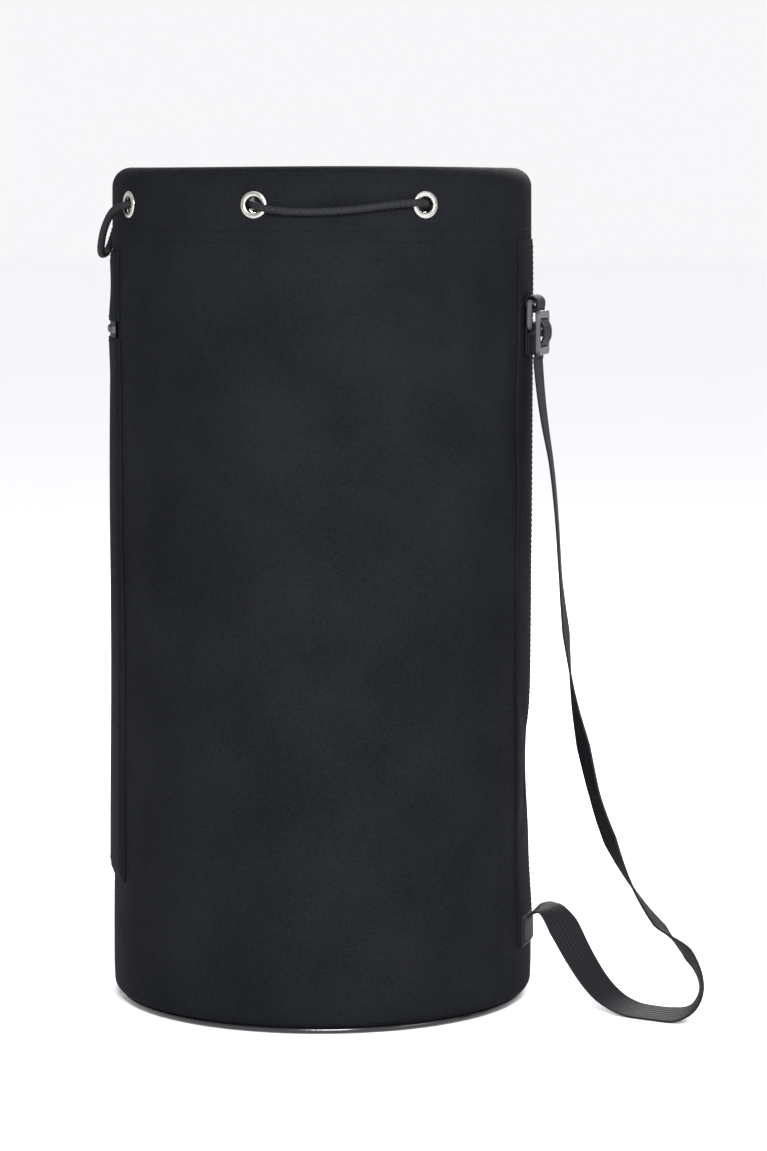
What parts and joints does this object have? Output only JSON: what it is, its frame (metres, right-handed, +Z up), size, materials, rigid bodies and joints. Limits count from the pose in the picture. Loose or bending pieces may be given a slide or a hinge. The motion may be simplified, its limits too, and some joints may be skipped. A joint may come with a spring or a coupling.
{
  "type": "rope storage bag",
  "caption": "Tall round cloth rope bag with an eyelet and drawcord mouth, a zipped side pocket and an adjustable carrying strap.",
  "frame": {"origin": "middle of the base, on the surface the bag stands on", "axes": "+Z up the bag to its mouth, +X towards the carrying strap, +Y to the back"},
  "size_m": [0.4388, 0.3339, 0.605],
  "materials": {
    "shell_cloth": "coated woven polyester",
    "nickel_plate": "nickel-plated brass",
    "base_vinyl": "glossy vinyl",
    "base_board": "polyethylene board",
    "webbing": "woven polyester",
    "zip_nylon": "nylon coil",
    "zip_metal": "black enamelled zinc",
    "moulded_plastic": "moulded acetal",
    "braided_cord": "braided polyester",
    "spring_steel": "spring steel"
  },
  "bodies": {
    "bag": {"body_front_panel": "shell_cloth", "body_back_panel": "shell_cloth", "rim_facing": "shell_cloth", "grommet_eyelets": "nickel_plate", "grommet_washers": "nickel_plate", "base_panel": "base_vinyl", "base_piping": "base_vinyl", "base_board": "base_board", "base_seam_binding": "webbing", "pocket_lower_panel": "shell_cloth", "pocket_upper_panel": "shell_cloth", "zip_tape_lower": "webbing", "zip_tape_upper": "webbing", "zip_coil_lower": "zip_nylon", "zip_coil_upper": "zip_nylon", "zip_stops": "zip_metal", "strap_backing_strip": "shell_cloth", "strap_anchor_patch": "webbing", "strap_tab": "webbing", "shoulder_strap": "webbing", "drawcord": "braided_cord", "drawcord_knots": "braided_cord"},
    "strap_head": {"rect_ring": "moulded_plastic", "tri_glide": "moulded_plastic", "strap_fold": "webbing"},
    "cord_lock": {"cord_lock_barrel": "moulded_plastic", "cord_lock_spring": "spring_steel"},
    "lock_button": {"cord_lock_plunger": "moulded_plastic"},
    "slider": {"zip_slider": "zip_metal"},
    "pull": {"zip_pull": "zip_metal"}
  },
  "joints": [
    {"name": "ring_tilt", "type": "hinge", "parent": "bag", "child": "strap_head", "pos_m": [0.15216, -0.0422, 0.49], "axis": [0.2672, 0.9636, 0], "range_deg": [0, 10]},
    {"name": "cord_lock_slide", "type": "slide", "parent": "bag", "child": "cord_lock", "axis": [0, 0, 1], "range_m": [-0.013, 0]},
    {"name": "cord_lock_press", "type": "slide", "parent": "cord_lock", "child": "lock_button", "axis": [-0.9998, -0.0175, 0], "range_m": [-0.003, 0], "stiffness_N_per_m": 600, "springref_m": 0.002, "deforming": ["cord_lock_spring"]},
    {"name": "zip_travel", "type": "hinge", "parent": "bag", "child": "slider", "pos_m": [0, 0, 0.488], "axis": [0, 0, 1], "range_deg": [0, 63]},
    {"name": "zip_pull_swing", "type": "hinge", "parent": "slider", "child": "pull", "pos_m": [-0.10026, 0.12302, 0.488], "axis": [0.7752, 0.6318, 0], "range_deg": [0, 80]}
  ]
}
